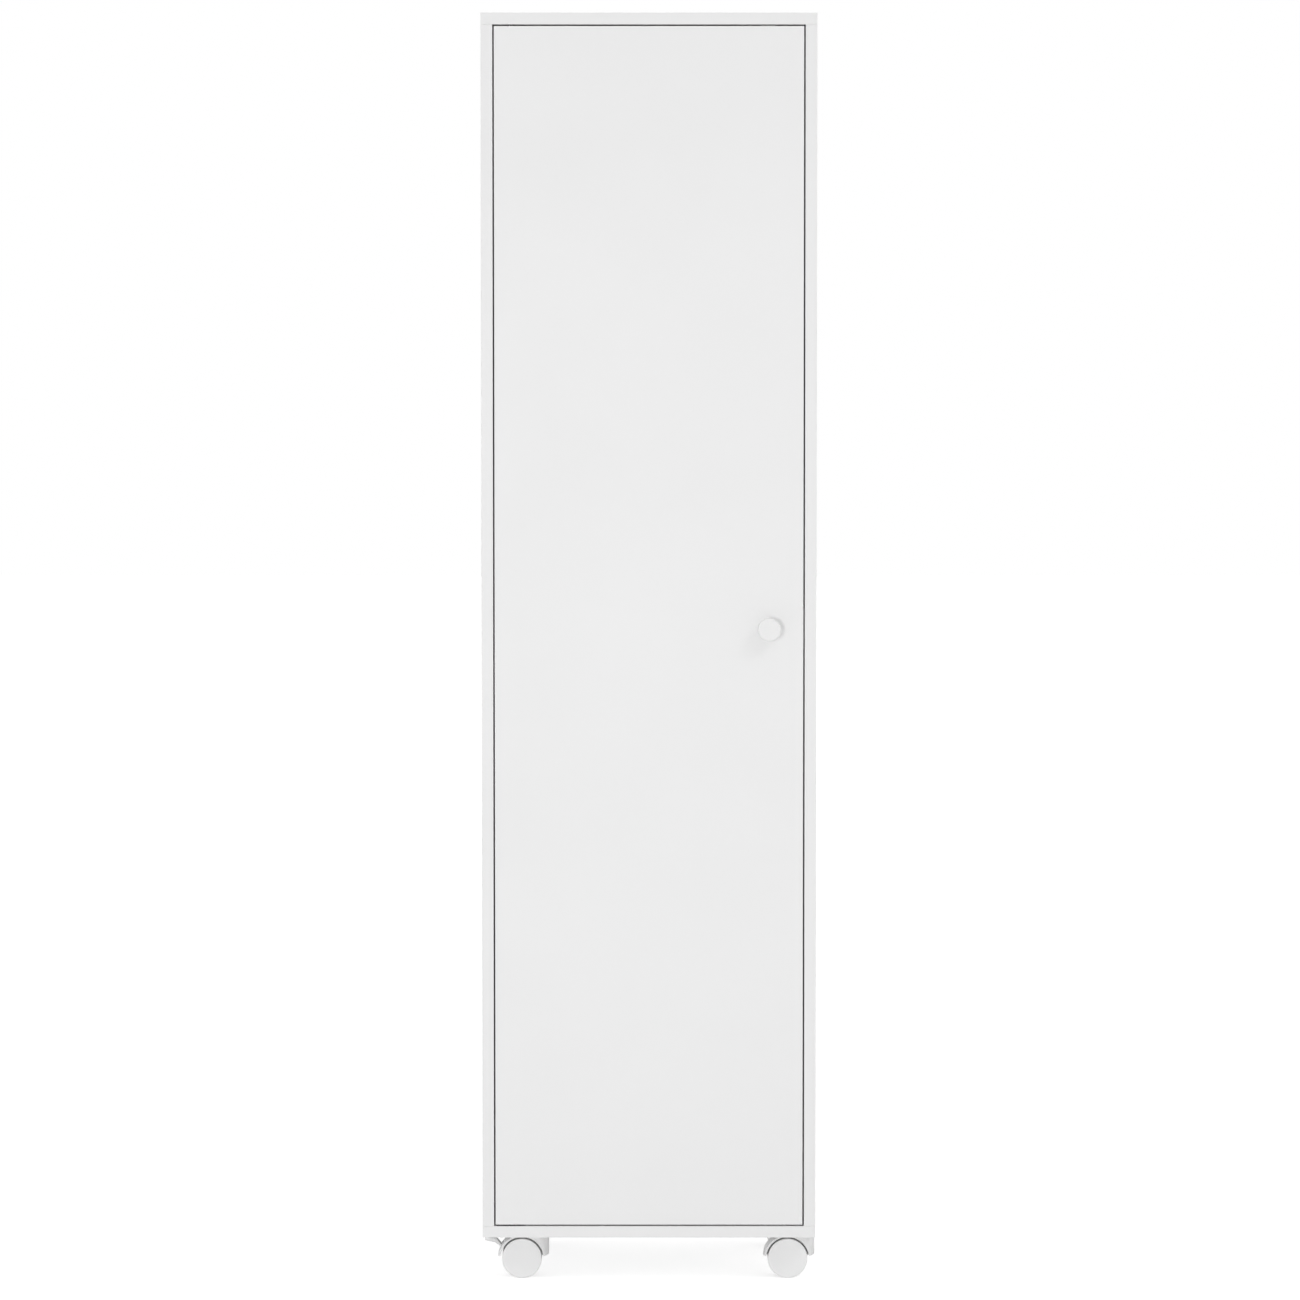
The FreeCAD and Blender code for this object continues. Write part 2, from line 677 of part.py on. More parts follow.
rounded_head.Base = head
rounded_head.Edges = [(front_edge + 1, SIZES["knob_round"], SIZES["knob_round"])]
screw_head = rod("knob_screw_head", "machine_head", "machine_head_height", (KNOB_X, DOOR_BACK, MIDDLE), "+y")
screw_shank = rod(
    "knob_screw_shank", "machine_screw", "door_thickness + knob_screw_depth",
    (KNOB_X, DOOR_BACK, MIDDLE), "-y",
)
knob_screw = fuse("knob_screw", screw_head, screw_shank)
keep("knob_screw", knob_screw)
keep("knob", cut("knob", fuse("knob_blank", neck, flare, rounded_head), knob_screw))

# Door: one flat board that closes flush with the front edges of the carcass
door_blank = panel(
    "door_blank", "xz", f"{DOOR_RIGHT} - {DOOR_LEFT}", f"{DOOR_TOP} - {DOOR_BOTTOM}", "door_thickness",
    (DOOR_LEFT, FRONT, DOOR_BOTTOM), "door_round",
)
keep("door", cut(
    "door", door_blank, pivot["bottom"]["bush"], pivot["top"]["bush"], strike_screws, knob_screw,
))

# Castors. Their pieces are drawn about the swivel axis, with z = 0 at the carcass's underside,
# x = wheel_trail at the axle, and the brake lever towards -x. Each castor is then put in its place.
AXLE_Z = f"(-{WHEEL_DROP})"
TRUNNION_X = "(wheel_trail + trunnion_radius * cos(trunnion_angle * 1 deg))"
TRUNNION_Z = f"({AXLE_Z} + trunnion_radius * sin(trunnion_angle * 1 deg))"
HOOD_TOP = "(-hood_top_drop)"


def centred_rod(name, diameter, length, x, z):
    """A rod along Y, centred on the middle plane of the castor."""
    return rod(name, diameter, length, (x, f"-({length}) / 2", z), "+y")


def put_castor(name, corner, item):
    side, y = CASTORS[corner]
    place(item, f"{side} * {SWIVEL_X}", y, "castor_height")
    keep(name, item)


def make_plate(corner):
    """The fixing plate: a steel square with rounded corners, riveted to the kingpin."""
    blank = block(
        "castor_plate_blank",
        ("castor_plate", "castor_plate", "castor_plate_thickness"),
        ("-castor_plate / 2", "-castor_plate / 2", "-castor_plate_thickness"),
    )
    doc.recompute()
    upright = [
        index + 1 for index, edge in enumerate(blank.Shape.Edges)
        if edge.BoundBox.ZLength > edge.BoundBox.XLength and edge.BoundBox.ZLength > edge.BoundBox.YLength
    ]
    rounded = doc.addObject("Part::Fillet", "castor_plate_rounded")
    rounded.Base = blank
    radius = SIZES["castor_plate_round"]
    rounded.Edges = [(number, radius, radius) for number in upright]
    under = ("0", "0", "-castor_plate_thickness")
    stem = rod("rivet", "kingpin_diameter", "castor_plate_thickness", under, "+z")
    ring = cut("castor_plate_ring", rounded, stem)
    side, y = CASTORS[corner]
    place(ring, f"{side} * {SWIVEL_X}", y, "castor_height")
    keep(f"castor_plate_{corner}", cut(f"castor_plate_{corner}", ring, screws_at[corner]))


def make_kingpin(corner):
    """The kingpin: a steel stem with a collar that the hood turns against."""
    stem = rod("kingpin_stem", "kingpin_diameter", "kingpin_reach", ("0", "0", "0"), "-z")
    collar_top = ("0", "0", "-castor_plate_thickness")
    collar = rod("kingpin_collar", "collar_diameter", "collar_thickness", collar_top, "-z")
    put_castor(f"kingpin_{corner}", corner, fuse("kingpin", stem, collar))


def draw_barrel(sketch):
    """Half the barrel's section: a foot on the axle, two ends of rim_radius and an arc up to hood_radius."""
    half = SIZES["hood_width"] / 2
    rim = SIZES["rim_radius"]
    rise = SIZES["hood_radius"] - rim
    bend = (half ** 2 + rise ** 2) / (2 * rise)
    spread = math.asin(half / bend)
    circle = Part.Circle(Vector(0, rim + rise - bend, 0), Vector(0, 0, 1), bend)
    sketch.addGeometry(Part.LineSegment(Vector(-half, 0, 0), Vector(half, 0, 0)), False)
    sketch.addGeometry(Part.LineSegment(Vector(half, 0, 0), Vector(half, rim, 0)), False)
    sketch.addGeometry(Part.ArcOfCircle(circle, math.pi / 2 - spread, math.pi / 2 + spread), False)
    sketch.addGeometry(Part.LineSegment(Vector(-half, rim, 0), Vector(-half, 0, 0)), False)
    for index in range(4):
        sketch.addConstraint(Sketcher.Constraint("Coincident", index, 2, (index + 1) % 4, 1))
    hold_start(sketch, 0, "-hood_width / 2", "0", -half, 0)
    hold_start(sketch, 1, "hood_width / 2", "0", half, 0)
    hold_start(sketch, 2, "hood_width / 2", "rim_radius", half, rim)
    hold_start(sketch, 3, "-hood_width / 2", "rim_radius", -half, rim)
    row = sketch.addConstraint(Sketcher.Constraint("Radius", 2, bend))
    rise_text = "(hood_radius - rim_radius)"
    sketch.setExpression(
        f"Constraints[{row}]", formula(f"((hood_width / 2) ^ 2 + {rise_text} ^ 2) / (2 * {rise_text})")
    )


def make_hood(corner):
    """The hood: one moulding with a barrel-shaped cover over both wheels, a web between them and a tail."""
    reach = "(2 * hood_radius)"
    tip_z = f"({AXLE_Z} + hood_tip)"
    barrel = new_body("crown_barrel", "wheel_trail", "0", AXLE_Z)
    profile = sketch_on(barrel, "yz")
    draw_barrel(profile)
    spun = barrel.newObject("PartDesign::Revolution", "crown_barrel_spun")
    spun.Profile = profile
    spun.ReferenceAxis = (profile, ["H_Axis"])
    spun.Angle = 360
    crown = overlap(
        "hood_crown",
        barrel,
        block("crown_limit", (reach, "hood_width", f"{HOOD_TOP} - {tip_z}"),
              (f"wheel_trail - {reach}", "-hood_width / 2", tip_z)),
    )
    tail_z = f"({AXLE_Z} - hood_tail_below)"
    tail_blank = block(
        "tail_blank",
        ("hood_tail", "hood_width", f"{HOOD_TOP} - {tail_z}"),
        ("wheel_trail", "-hood_width / 2", tail_z),
    )
    doc.recompute()
    far_edges = [
        index + 1 for index, edge in enumerate(tail_blank.Shape.Edges)
        if edge.BoundBox.ZLength > edge.BoundBox.YLength and edge.BoundBox.ZLength > edge.BoundBox.XLength
        and edge.BoundBox.XMin > tail_blank.Shape.BoundBox.Center.x
    ]
    tail = doc.addObject("Part::Fillet", "tail_rounded")
    tail.Base = tail_blank
    radius = SIZES["hood_tail_round"]
    tail.Edges = [(number, radius, radius) for number in far_edges]
    slope = block("tail_slope", ("hood_tail", "2 * hood_width", "hood_radius"),
                  ("wheel_trail + hood_tail", "-hood_width", f"{tail_z} - hood_radius"))
    slope.Placement.Rotation = Rotation(Vector(0, 1, 0), -SIZES["hood_tail_slope"])
    slope_start = "(wheel_trail + wheel_diameter / 2 + rim_play)"
    place(slope, slope_start, "-hood_width",
          f"{tail_z} - hood_radius * cos(hood_tail_slope * 1 deg)")
    boss = centred_rod("axle_boss", "axle_boss", "hood_web", "wheel_trail", AXLE_Z)
    solid = fuse("hood_solid", crown, cut("hood_tail", tail, slope))
    hollows = []
    for start, along in (("-hood_web / 2", "-y"), ("hood_web / 2", "+y")):
        centre = ("wheel_trail", start, AXLE_Z)
        hollows.append(rod("wheel_hollow", "wheel_diameter + 2 * rim_play", "hood_width / 2", centre, along))
    hollow = cut("hood_hollow", solid, *hollows)
    webbed = fuse("hood_webbed", hollow, boss)
    socket = rod("kingpin_socket", "kingpin_diameter + 2 * running_play", "kingpin_reach + collar_play",
                 ("0", "0", "0"), "-z")
    collar_recess = rod("collar_recess", "collar_diameter + 2 * collar_play", "castor_plate_thickness "
                        "+ collar_thickness + collar_play", ("0", "0", "0"), "-z")
    axle_hole = centred_rod("axle_hole", "axle_diameter", "hood_web", "wheel_trail", AXLE_Z)
    tools = [socket, collar_recess, axle_hole]
    if corner in BRAKED:
        opening = overlap(
            "lever_opening_sector",
            centred_rod("lever_opening_disc", "4 * hood_radius", "lever_width + 2 * lever_play",
                        "wheel_trail", AXLE_Z),
            block("lever_opening_block",
                  ("2 * hood_radius", "lever_width + 2 * lever_play", "hood_radius"),
                  (f"{TRUNNION_X} + trunnion_diameter + lever_play - 2 * hood_radius",
                   "-lever_width / 2 - lever_play", AXLE_Z)),
        )
        drum_diameter = "wheel_diameter - 2 * hood_play"
        drum = centred_rod("lever_drum", drum_diameter, "2 * hood_width", "wheel_trail", AXLE_Z)
        tools.append(cut("lever_opening", opening, drum))
        tools.append(centred_rod("trunnion_hole", "trunnion_diameter + 2 * running_play",
                                 "trunnion_length + 2 * running_play", TRUNNION_X, TRUNNION_Z))
    put_castor(f"castor_hood_{corner}", corner, cut("castor_hood", webbed, *tools))


def make_axle(corner):
    length = "(wheel_gap + 2 * (wheel_width - wheel_web) - hood_play)"
    plain = centred_rod("axle_plain", "axle_diameter", length, "wheel_trail", AXLE_Z)
    axle = doc.addObject("Part::Chamfer", "axle")
    axle.Base = plain
    doc.recompute()
    size = SIZES["axle_chamfer"]
    round_edges_found = [
        index + 1 for index, edge in enumerate(plain.Shape.Edges) if edge.BoundBox.YLength < size
    ]
    axle.Edges = [(number, size, size) for number in round_edges_found]
    put_castor(f"castor_axle_{corner}", corner, axle)


def make_wheel(corner, name, start, along):
    """One wheel: a plain outer disc with its tread, hollow behind, on a hub with a blind bore."""
    tread = rod("wheel_disc", "wheel_diameter", "wheel_width", ("wheel_trail", start, AXLE_Z), along)
    doc.recompute()
    rounded = doc.addObject("Part::Fillet", "wheel_rounded")
    rounded.Base = tread
    radius = SIZES["wheel_round"]
    rims = [
        index + 1 for index, edge in enumerate(tread.Shape.Edges) if edge.BoundBox.YLength < radius
    ]
    rounded.Edges = [(number, radius, radius) for number in rims]
    recess_disc = rod("wheel_recess", "wheel_diameter - 2 * wheel_rim", "wheel_recess",
                      ("wheel_trail", start, AXLE_Z), along)
    hub = rod("wheel_hub", "wheel_hub", "wheel_recess", ("wheel_trail", start, AXLE_Z), along)
    recess = cut("wheel_ring", recess_disc, hub)
    bore = rod("wheel_bore", "axle_diameter + 2 * running_play", "wheel_width - wheel_web",
               ("wheel_trail", start, AXLE_Z), along)
    put_castor(f"wheel_{corner}_{name}", corner, cut("wheel", rounded, recess, bore))


def make_lever(corner):
    """The brake lever: a toe plate outside the hood, on trunnions, with a shoe above the wheels."""
    body = new_body(f"lever_body_{corner}")
    sketch = sketch_on(body, "xz")
    tip_x = "(wheel_trail - lever_reach)"
    bend_x = "(wheel_trail - lever_bend)"
    draw_outline(sketch, [
        (tip_x, "-lever_drop"),
        (tip_x, "-lever_drop - lever_thickness"),
        (bend_x, "-lever_drop - lever_thickness - lever_fall"),
        (f"{TRUNNION_X} - lever_thickness", f"{TRUNNION_Z} + trunnion_diameter / 4"),
        (f"{TRUNNION_X} - trunnion_diameter", f"{TRUNNION_Z} - trunnion_diameter"),
        (TRUNNION_X, f"{TRUNNION_Z} + trunnion_diameter * 3 / 4"),
        (f"{TRUNNION_X} - trunnion_diameter * 3 / 4", f"{TRUNNION_Z} + trunnion_diameter * 3 / 4"),
        ("(wheel_trail - lever_neck)", "-lever_drop - lever_fall * 2 / 3"),
    ])
    pad(body, sketch, "lever_width", side="Symmetric")
    shoe_ring = cut(
        "shoe_ring",
        centred_rod("shoe_disc", "2 * shoe_outer", "lever_width", "wheel_trail", AXLE_Z),
        centred_rod("shoe_bore", "2 * shoe_inner", "2 * lever_width", "wheel_trail", AXLE_Z),
    )
    sector = block(
        "shoe_sector",
        ("2 * shoe_outer", "2 * lever_width",
         "shoe_outer * (sin(trunnion_angle * 1 deg) - sin(shoe_angle * 1 deg))"),
        ("wheel_trail - 2 * shoe_outer", "-lever_width", f"{AXLE_Z} + shoe_outer * sin(shoe_angle * 1 deg)"),
    )
    shoe = overlap("shoe", shoe_ring, sector)
    trunnion = centred_rod("trunnion", "trunnion_diameter", "trunnion_length", TRUNNION_X, TRUNNION_Z)
    put_castor(f"brake_lever_{corner}", corner, fuse("brake_lever", body, shoe, trunnion))


for corner in CASTORS:
    make_plate(corner)
    make_kingpin(corner)
    make_hood(corner)
    make_axle(corner)
    make_wheel(corner, "near", "-wheel_gap / 2", "-y")
    make_wheel(corner, "far", "wheel_gap / 2", "+y")
    if corner in BRAKED:
        make_lever(corner)

doc.recompute()

# Checks before anything is written
faults = [item.Name for item in doc.Objects if "Invalid" in item.State or "Error" in item.State]
for name, item in nodes.items():
    if item.Shape.isNull() or not item.Shape.isValid() or not item.Shape.Solids:
        faults.append(name)
if faults:
    raise RuntimeError(f"these objects failed: {faults}")

os.makedirs("parts", exist_ok=True)
for name, item in nodes.items():
    item.Shape.exportStep(f"parts/{name}.step")

whole = Part.makeCompound([item.Shape for item in nodes.values()]).BoundBox
print(len(nodes), "nodes")
print("x", round(whole.XMin, 2), round(whole.XMax, 2))
print("y", round(whole.YMin, 2), round(whole.YMax, 2))
print("z", round(whole.ZMin, 2), round(whole.ZMax, 2))
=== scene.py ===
import math

import bmesh
import bpy
from mathutils import Matrix, Vector


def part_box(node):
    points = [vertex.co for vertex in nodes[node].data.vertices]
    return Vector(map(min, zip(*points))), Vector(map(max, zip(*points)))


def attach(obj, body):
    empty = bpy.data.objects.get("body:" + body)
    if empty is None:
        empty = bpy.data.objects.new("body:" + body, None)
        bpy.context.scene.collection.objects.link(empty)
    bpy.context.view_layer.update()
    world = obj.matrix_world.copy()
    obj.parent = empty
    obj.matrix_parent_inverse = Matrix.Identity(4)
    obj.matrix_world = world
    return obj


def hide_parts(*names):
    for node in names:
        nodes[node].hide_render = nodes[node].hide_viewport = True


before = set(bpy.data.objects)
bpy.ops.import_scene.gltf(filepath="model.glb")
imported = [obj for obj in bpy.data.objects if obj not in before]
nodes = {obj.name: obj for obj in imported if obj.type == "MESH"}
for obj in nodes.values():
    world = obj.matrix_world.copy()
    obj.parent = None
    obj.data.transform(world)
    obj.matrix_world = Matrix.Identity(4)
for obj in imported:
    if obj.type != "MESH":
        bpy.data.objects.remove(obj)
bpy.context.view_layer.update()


# Camera: it stands well back, at about three quarters of the cupboard's height, and looks slightly
# down, so that the sides draw together a very little towards the floor.
front_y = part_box("door")[0].y
camera_distance = 8.0
camera_height = 1.3655
camera_side = 0.0014
camera_tilt = math.radians(3.5)
focal_pixels = 5835
frame_pixels = 1300
sensor_width = 36.0

lens = bpy.data.cameras.new("camera")
lens.sensor_width = sensor_width
lens.lens = sensor_width * focal_pixels / frame_pixels
lens.clip_end = 100.0
camera = bpy.data.objects.new("camera", lens)
camera.location = (camera_side, front_y - camera_distance, camera_height)
camera.rotation_euler = (math.radians(90) - camera_tilt, 0.0, 0.0)
bpy.context.scene.collection.objects.link(camera)
bpy.context.scene.camera = camera
bpy.context.scene.view_settings.view_transform = "Standard"


# Studio light: a white room, a soft lamp at the front, to the left and a little below the knob, and a
# weaker one high at the right, which throws the knob's faint second shadow. The front lamp has a
# narrow beam, so it takes fewer watts.
room_white = (1.0, 1.0, 1.0, 1.0)
room_strength = 0.66
room_strength_seen = 1.0
soft_lamps = {
    "key_lamp": {"place": (-2.15, -8.9, 0.80), "aim": (0.0, -0.1, 0.85), "size": 1.9, "spread": 40.0,
                 "watts": 7.9},
    "side_lamp": {"place": (4.0, -4.2, 5.35), "aim": (0.0, -0.1, 0.85), "size": 1.6, "spread": 180.0,
                  "watts": 50.0},
}

world = bpy.data.worlds.new("white_room")
bpy.context.scene.world = world
world.use_nodes = True
sky = world.node_tree
sky.nodes.clear()
room_ray = sky.nodes.new("ShaderNodeLightPath")
shown = room_ray.outputs["Is Camera Ray"]
for kind in ("Is Glossy Ray", "Is Transmission Ray"):
    either = sky.nodes.new("ShaderNodeMath")
    either.operation = "MAXIMUM"
    sky.links.new(shown, either.inputs[0])
    sky.links.new(room_ray.outputs[kind], either.inputs[1])
    shown = either.outputs[0]
strength = sky.nodes.new("ShaderNodeMapRange")
strength.inputs["To Min"].default_value = room_strength
strength.inputs["To Max"].default_value = room_strength_seen
sky.links.new(shown, strength.inputs["Value"])
backdrop = sky.nodes.new("ShaderNodeBackground")
sky.links.new(strength.outputs[0], backdrop.inputs["Strength"])
backdrop.inputs["Color"].default_value = room_white
room = sky.nodes.new("ShaderNodeOutputWorld")
sky.links.new(backdrop.outputs[0], room.inputs["Surface"])

for name, lamp in soft_lamps.items():
    data = bpy.data.lights.new(name, "AREA")
    data.shape = "DISK"
    data.size = lamp["size"]
    data.spread = math.radians(lamp["spread"])
    data.energy = lamp["watts"]
    light = bpy.data.objects.new(name, data)
    light.location = lamp["place"]
    towards = Vector(lamp["aim"]) - Vector(lamp["place"])
    light.rotation_euler = towards.to_track_quat("-Z", "Y").to_euler()
    bpy.context.scene.collection.objects.link(light)


# Floor: a seamless pale sheet, lit a little from below. It glows more for the camera, which brings it
# to plain white, and the cupboard's soft shadow still shows on it.
floor_size = 40.0
floor_colour = (0.80, 0.80, 0.80, 1.0)
floor_glow = 0.2
floor_glow_seen = 0.58

bm = bmesh.new()
bmesh.ops.create_grid(bm, x_segments=1, y_segments=1, size=floor_size / 2)
floor_mesh = bpy.data.meshes.new("floor")
bm.to_mesh(floor_mesh)
bm.free()
floor = bpy.data.objects.new("floor", floor_mesh)
bpy.context.scene.collection.objects.link(floor)
floor_material = bpy.data.materials.new("floor_sheet")
floor_material.use_nodes = True
sheet = floor_material.node_tree
sheet.nodes.clear()
matt = sheet.nodes.new("ShaderNodeBsdfDiffuse")
matt.inputs["Color"].default_value = floor_colour
glow = sheet.nodes.new("ShaderNodeEmission")
floor_ray = sheet.nodes.new("ShaderNodeLightPath")
level = sheet.nodes.new("ShaderNodeMapRange")
level.inputs["To Min"].default_value = floor_glow
level.inputs["To Max"].default_value = floor_glow_seen
sheet.links.new(floor_ray.outputs["Is Camera Ray"], level.inputs["Value"])
sheet.links.new(level.outputs[0], glow.inputs["Strength"])
both = sheet.nodes.new("ShaderNodeAddShader")
sheet.links.new(matt.outputs[0], both.inputs[0])
sheet.links.new(glow.outputs[0], both.inputs[1])
surface = sheet.nodes.new("ShaderNodeOutputMaterial")
sheet.links.new(both.outputs[0], surface.inputs["Surface"])
floor.data.materials.append(floor_material)


# Carcass boards: particle board with a white lacquer, sprayed in two coats and rubbed down, with
# thin banded edges. The top and bottom run full width and the sides stand between them.
class Value:
    """One output of a shader node, on which sums are written as Python expressions."""

    def __init__(self, finish, socket):
        self.finish = finish
        self.socket = socket

    def math(self, operation, first, second):
        return self.finish.make("Math", {"operation": operation}, {0: first, 1: second})

    def __add__(self, other):
        return self.math("ADD", self, other)

    def __radd__(self, other):
        return self.math("ADD", other, self)

    def __sub__(self, other):
        return self.math("SUBTRACT", self, other)

    def __rsub__(self, other):
        return self.math("SUBTRACT", other, self)

    def __mul__(self, other):
        return self.math("MULTIPLY", self, other)

    def __rmul__(self, other):
        return self.math("MULTIPLY", other, self)

    def __abs__(self):
        return self.math("ABSOLUTE", self, 0.0)


class Finish:
    """A material with one Principled shader. make() adds any node, and the rest feed its sockets."""

    def __init__(self, name, colour, roughness, metallic=0.0, coat=0.0, coat_roughness=0.1):
        self.material = bpy.data.materials.new(name)
        self.material.use_nodes = True
        self.tree = self.material.node_tree
        self.base = colour
        self.shader = self.tree.nodes["Principled BSDF"]
        self.shader.inputs["Base Color"].default_value = (*colour, 1.0)
        self.shader.inputs["Roughness"].default_value = roughness
        self.shader.inputs["Metallic"].default_value = metallic
        self.shader.inputs["Coat Weight"].default_value = coat
        self.shader.inputs["Coat Roughness"].default_value = coat_roughness
        self.place = Value(self, self.tree.nodes.new("ShaderNodeTexCoord").outputs["Object"])

    def make(self, kind, settings, inputs, output=0):
        node = self.tree.nodes.new("ShaderNode" + kind)
        for key, value in settings.items():
            setattr(node, key, value)
        for key, value in inputs.items():
            self.feed(node.inputs[key], value)
        return Value(self, node.outputs[output])

    def feed(self, socket, value):
        if isinstance(value, Value):
            self.tree.links.new(value.socket, socket)
        else:
            socket.default_value = value

    def noise(self, scale, detail=2.0, stretch=None):
        """Cloudy noise from 0 to 1. scale counts features per metre, and stretch lengthens them."""
        spot = self.place
        if stretch:
            shrink = tuple(1.0 / part for part in stretch)
            spot = self.make("Mapping", {}, {"Vector": spot, "Scale": shrink})
        return self.make("TexNoise", {}, {"Vector": spot, "Scale": scale, "Detail": detail})

    def ramp(self, value, low, high, to_low=0.0, to_high=1.0):
        """value from low to high, eased to run from to_low to to_high."""
        sockets = {"Value": value, "From Min": low, "From Max": high, "To Min": to_low, "To Max": to_high}
        return self.make("MapRange", {"interpolation_type": "SMOOTHSTEP"}, sockets)

    def tint(self, mask, first, second):
        """The first colour where mask is 0, the second where it is 1."""
        start, end = ((*shade, 1.0) if isinstance(shade, tuple) else shade for shade in (first, second))
        return self.make("Mix", {"data_type": "RGBA"}, {0: mask, 6: start, 7: end}, output=2)

    def colour(self, value):
        self.feed(self.shader.inputs["Base Color"], value)

    def roughness(self, value):
        self.feed(self.shader.inputs["Roughness"], value)

    def mottle(self, pattern, second, smooth, rough, stops=(0.4, 0.75), rough_stops=(0.3, 0.7)):
        """Where the pattern rises, the colour turns to the second one and smooth turns rough."""
        self.colour(self.tint(self.ramp(pattern, *stops), self.base, second))
        self.roughness(self.ramp(pattern, *rough_stops, smooth, rough))

    def depth(self, weight, reach):
        """Light that goes in and comes out again, as far away as reach."""
        self.shader.inputs["Subsurface Weight"].default_value = weight
        self.shader.inputs["Subsurface Radius"].default_value = (1.0, 1.0, 1.0)
        self.shader.inputs["Subsurface Scale"].default_value = reach

    def bump(self, height, distance, strength):
        sockets = {"Height": height, "Distance": distance, "Strength": strength}
        normal = self.make("Bump", {}, sockets)
        self.feed(self.shader.inputs["Normal"], normal)

    def dress(self, *names):
        """Puts the finish on CAD nodes that keep their own shape."""
        for name in names:
            for slot in nodes[name].material_slots:
                slot.material = self.material


def near_edge(finish, node, reach):
    """1 on the edges of a flat board and 0 further than reach from them. A point on an edge is near
    two of the board's faces at once, so the second smallest of its three depths is what counts."""
    low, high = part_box(node)
    places = finish.make("SeparateXYZ", {}, {"Vector": finish.place}).socket.node.outputs
    depths = []
    for axis in range(3):
        middle = (low[axis] + high[axis]) / 2
        half = (high[axis] - low[axis]) / 2
        depths.append(half - abs(Value(finish, places[axis]) - middle))
    across, along, up = depths
    lesser = across.math("MINIMUM", across, along)
    greater = across.math("MAXIMUM", across, along)
    second = lesser.math("MAXIMUM", lesser, lesser.math("MINIMUM", greater, up))
    return finish.ramp(second, 0.0, reach, 1.0, 0.0)


lacquer_white = (0.855, 0.855, 0.855)
lacquer_rubbed = (0.80, 0.80, 0.795)
lacquer_shade = 0.99
spray_ripple = 420.0
spray_swell = 90.0
swell_share = 0.6
spray_height = 0.00003
edge_reach = 0.0016
edge_wear = 0.5


def lacquer_board(node, white=lacquer_white):
    lacquer = Finish(f"lacquer_{node}", white, 0.5, coat=0.12, coat_roughness=0.35)
    cloud = lacquer.ramp(lacquer.noise(3.0, detail=3.0), 0.35, 0.7)
    tone = lacquer.tint(cloud, white, tuple(part * lacquer_shade for part in white))
    rubbing = lacquer.ramp(lacquer.noise(26.0, detail=4.0), 0.35, 0.75)
    worn = near_edge(lacquer, node, edge_reach) * rubbing
    lacquer.colour(lacquer.tint(worn * edge_wear, tone, lacquer_rubbed))
    lacquer.roughness(lacquer.ramp(lacquer.noise(9.0, detail=4.0), 0.3, 0.7, 0.46, 0.56))
    swell = lacquer.noise(spray_swell, detail=2.0)
    lacquer.bump(lacquer.noise(spray_ripple, detail=1.0) + swell_share * swell, spray_height, 0.5)
    lacquer.dress(node)


for node in ("top_board", "bottom_board", "left_side", "right_side"):
    lacquer_board(node)


# Back panel: three-millimetre hardboard, white on the inside, its pressed screen pattern faintly
# showing through the paint on the outside. It slides in the grooves before the top goes on.
hardboard_white = (0.83, 0.828, 0.82)
hardboard_grey = (0.805, 0.80, 0.788)
fibre_pitch = 380.0
screen_pitch = 900.0

hardboard = Finish("hardboard", hardboard_white, 0.6)
fibre = hardboard.noise(fibre_pitch, detail=4.0)
hardboard.mottle(fibre, hardboard_grey, 0.52, 0.68)
hardboard.bump(hardboard.noise(screen_pitch, detail=2.0) + fibre, 0.00006, 0.6)
hardboard.dress("back_panel")


# Board fittings: beech dowels, steel connecting bolts and the cams that draw them tight. A cam is a
# zinc die casting that lies flush in the side board, with a cross slot for a screwdriver.
beech_pale = (0.70, 0.53, 0.36)
beech_dark = (0.56, 0.38, 0.23)
zinc_white = (0.68, 0.69, 0.71)
zinc_grey = (0.55, 0.56, 0.58)

beech = Finish("beech", beech_pale, 0.62)
grain = beech.noise(700.0, detail=3.0, stretch=(1.0, 1.0, 12.0))
beech.colour(beech.tint(beech.ramp(grain, 0.35, 0.7), beech_pale, beech_dark))
beech.bump(grain, 0.00008, 0.6)
beech.dress("dowels")


def zinc_finish(name, roughness=0.32):
    """Bright zinc plate: a little cloudy, with fine pitting."""
    zinc = Finish(name, zinc_white, roughness, metallic=1.0)
    cloud = zinc.noise(260.0, detail=4.0)
    zinc.mottle(cloud, zinc_grey, roughness - 0.08, roughness + 0.14, (0.35, 0.7), (0.3, 0.75))
    zinc.bump(zinc.noise(1800.0, detail=2.0), 0.00002, 0.5)
    return zinc


plated = zinc_finish("zinc_plate")
plated.dress("connecting_bolts")


same_point = 0.000001
same_ring = 0.000002
smooth_angle = math.radians(35)
recess_arms = 4
recess_taper = 0.7


def separate_solids(node):
    """The lowest and highest corner of each separate solid in a CAD node."""
    bm = bmesh.new()
    bm.from_mesh(nodes[node].data)
    bmesh.ops.remove_doubles(bm, verts=bm.verts, dist=same_point)
    waiting = set(bm.verts)
    boxes = []
    while waiting:
        island = [waiting.pop()]
        for vert in island:
            for edge in vert.link_edges:
                other = edge.other_vert(vert)
                if other in waiting:
                    waiting.remove(other)
                    island.append(other)
        low = Vector(min(vert.co[axis] for vert in island) for axis in range(3))
        high = Vector(max(vert.co[axis] for vert in island) for axis in range(3))
        boxes.append((low, high))
    bm.free()
    return sorted(boxes, key=lambda box: tuple(round(part, 5) for part in box[0]))


def turned(bm, profile, steps):
    """Spins a profile of (radius, height) points into a turned solid about the Z axis."""
    chain = [bm.verts.new((radius, 0.0, height)) for radius, height in profile]
    edges = [bm.edges.new(pair) for pair in zip(chain, chain[1:])]
    bmesh.ops.spin(bm, geom=chain + edges, cent=(0, 0, 0), axis=(0, 0, 1), angle=math.tau, steps=steps,
                   use_merge=True)
    bmesh.ops.remove_doubles(bm, verts=bm.verts, dist=same_ring)


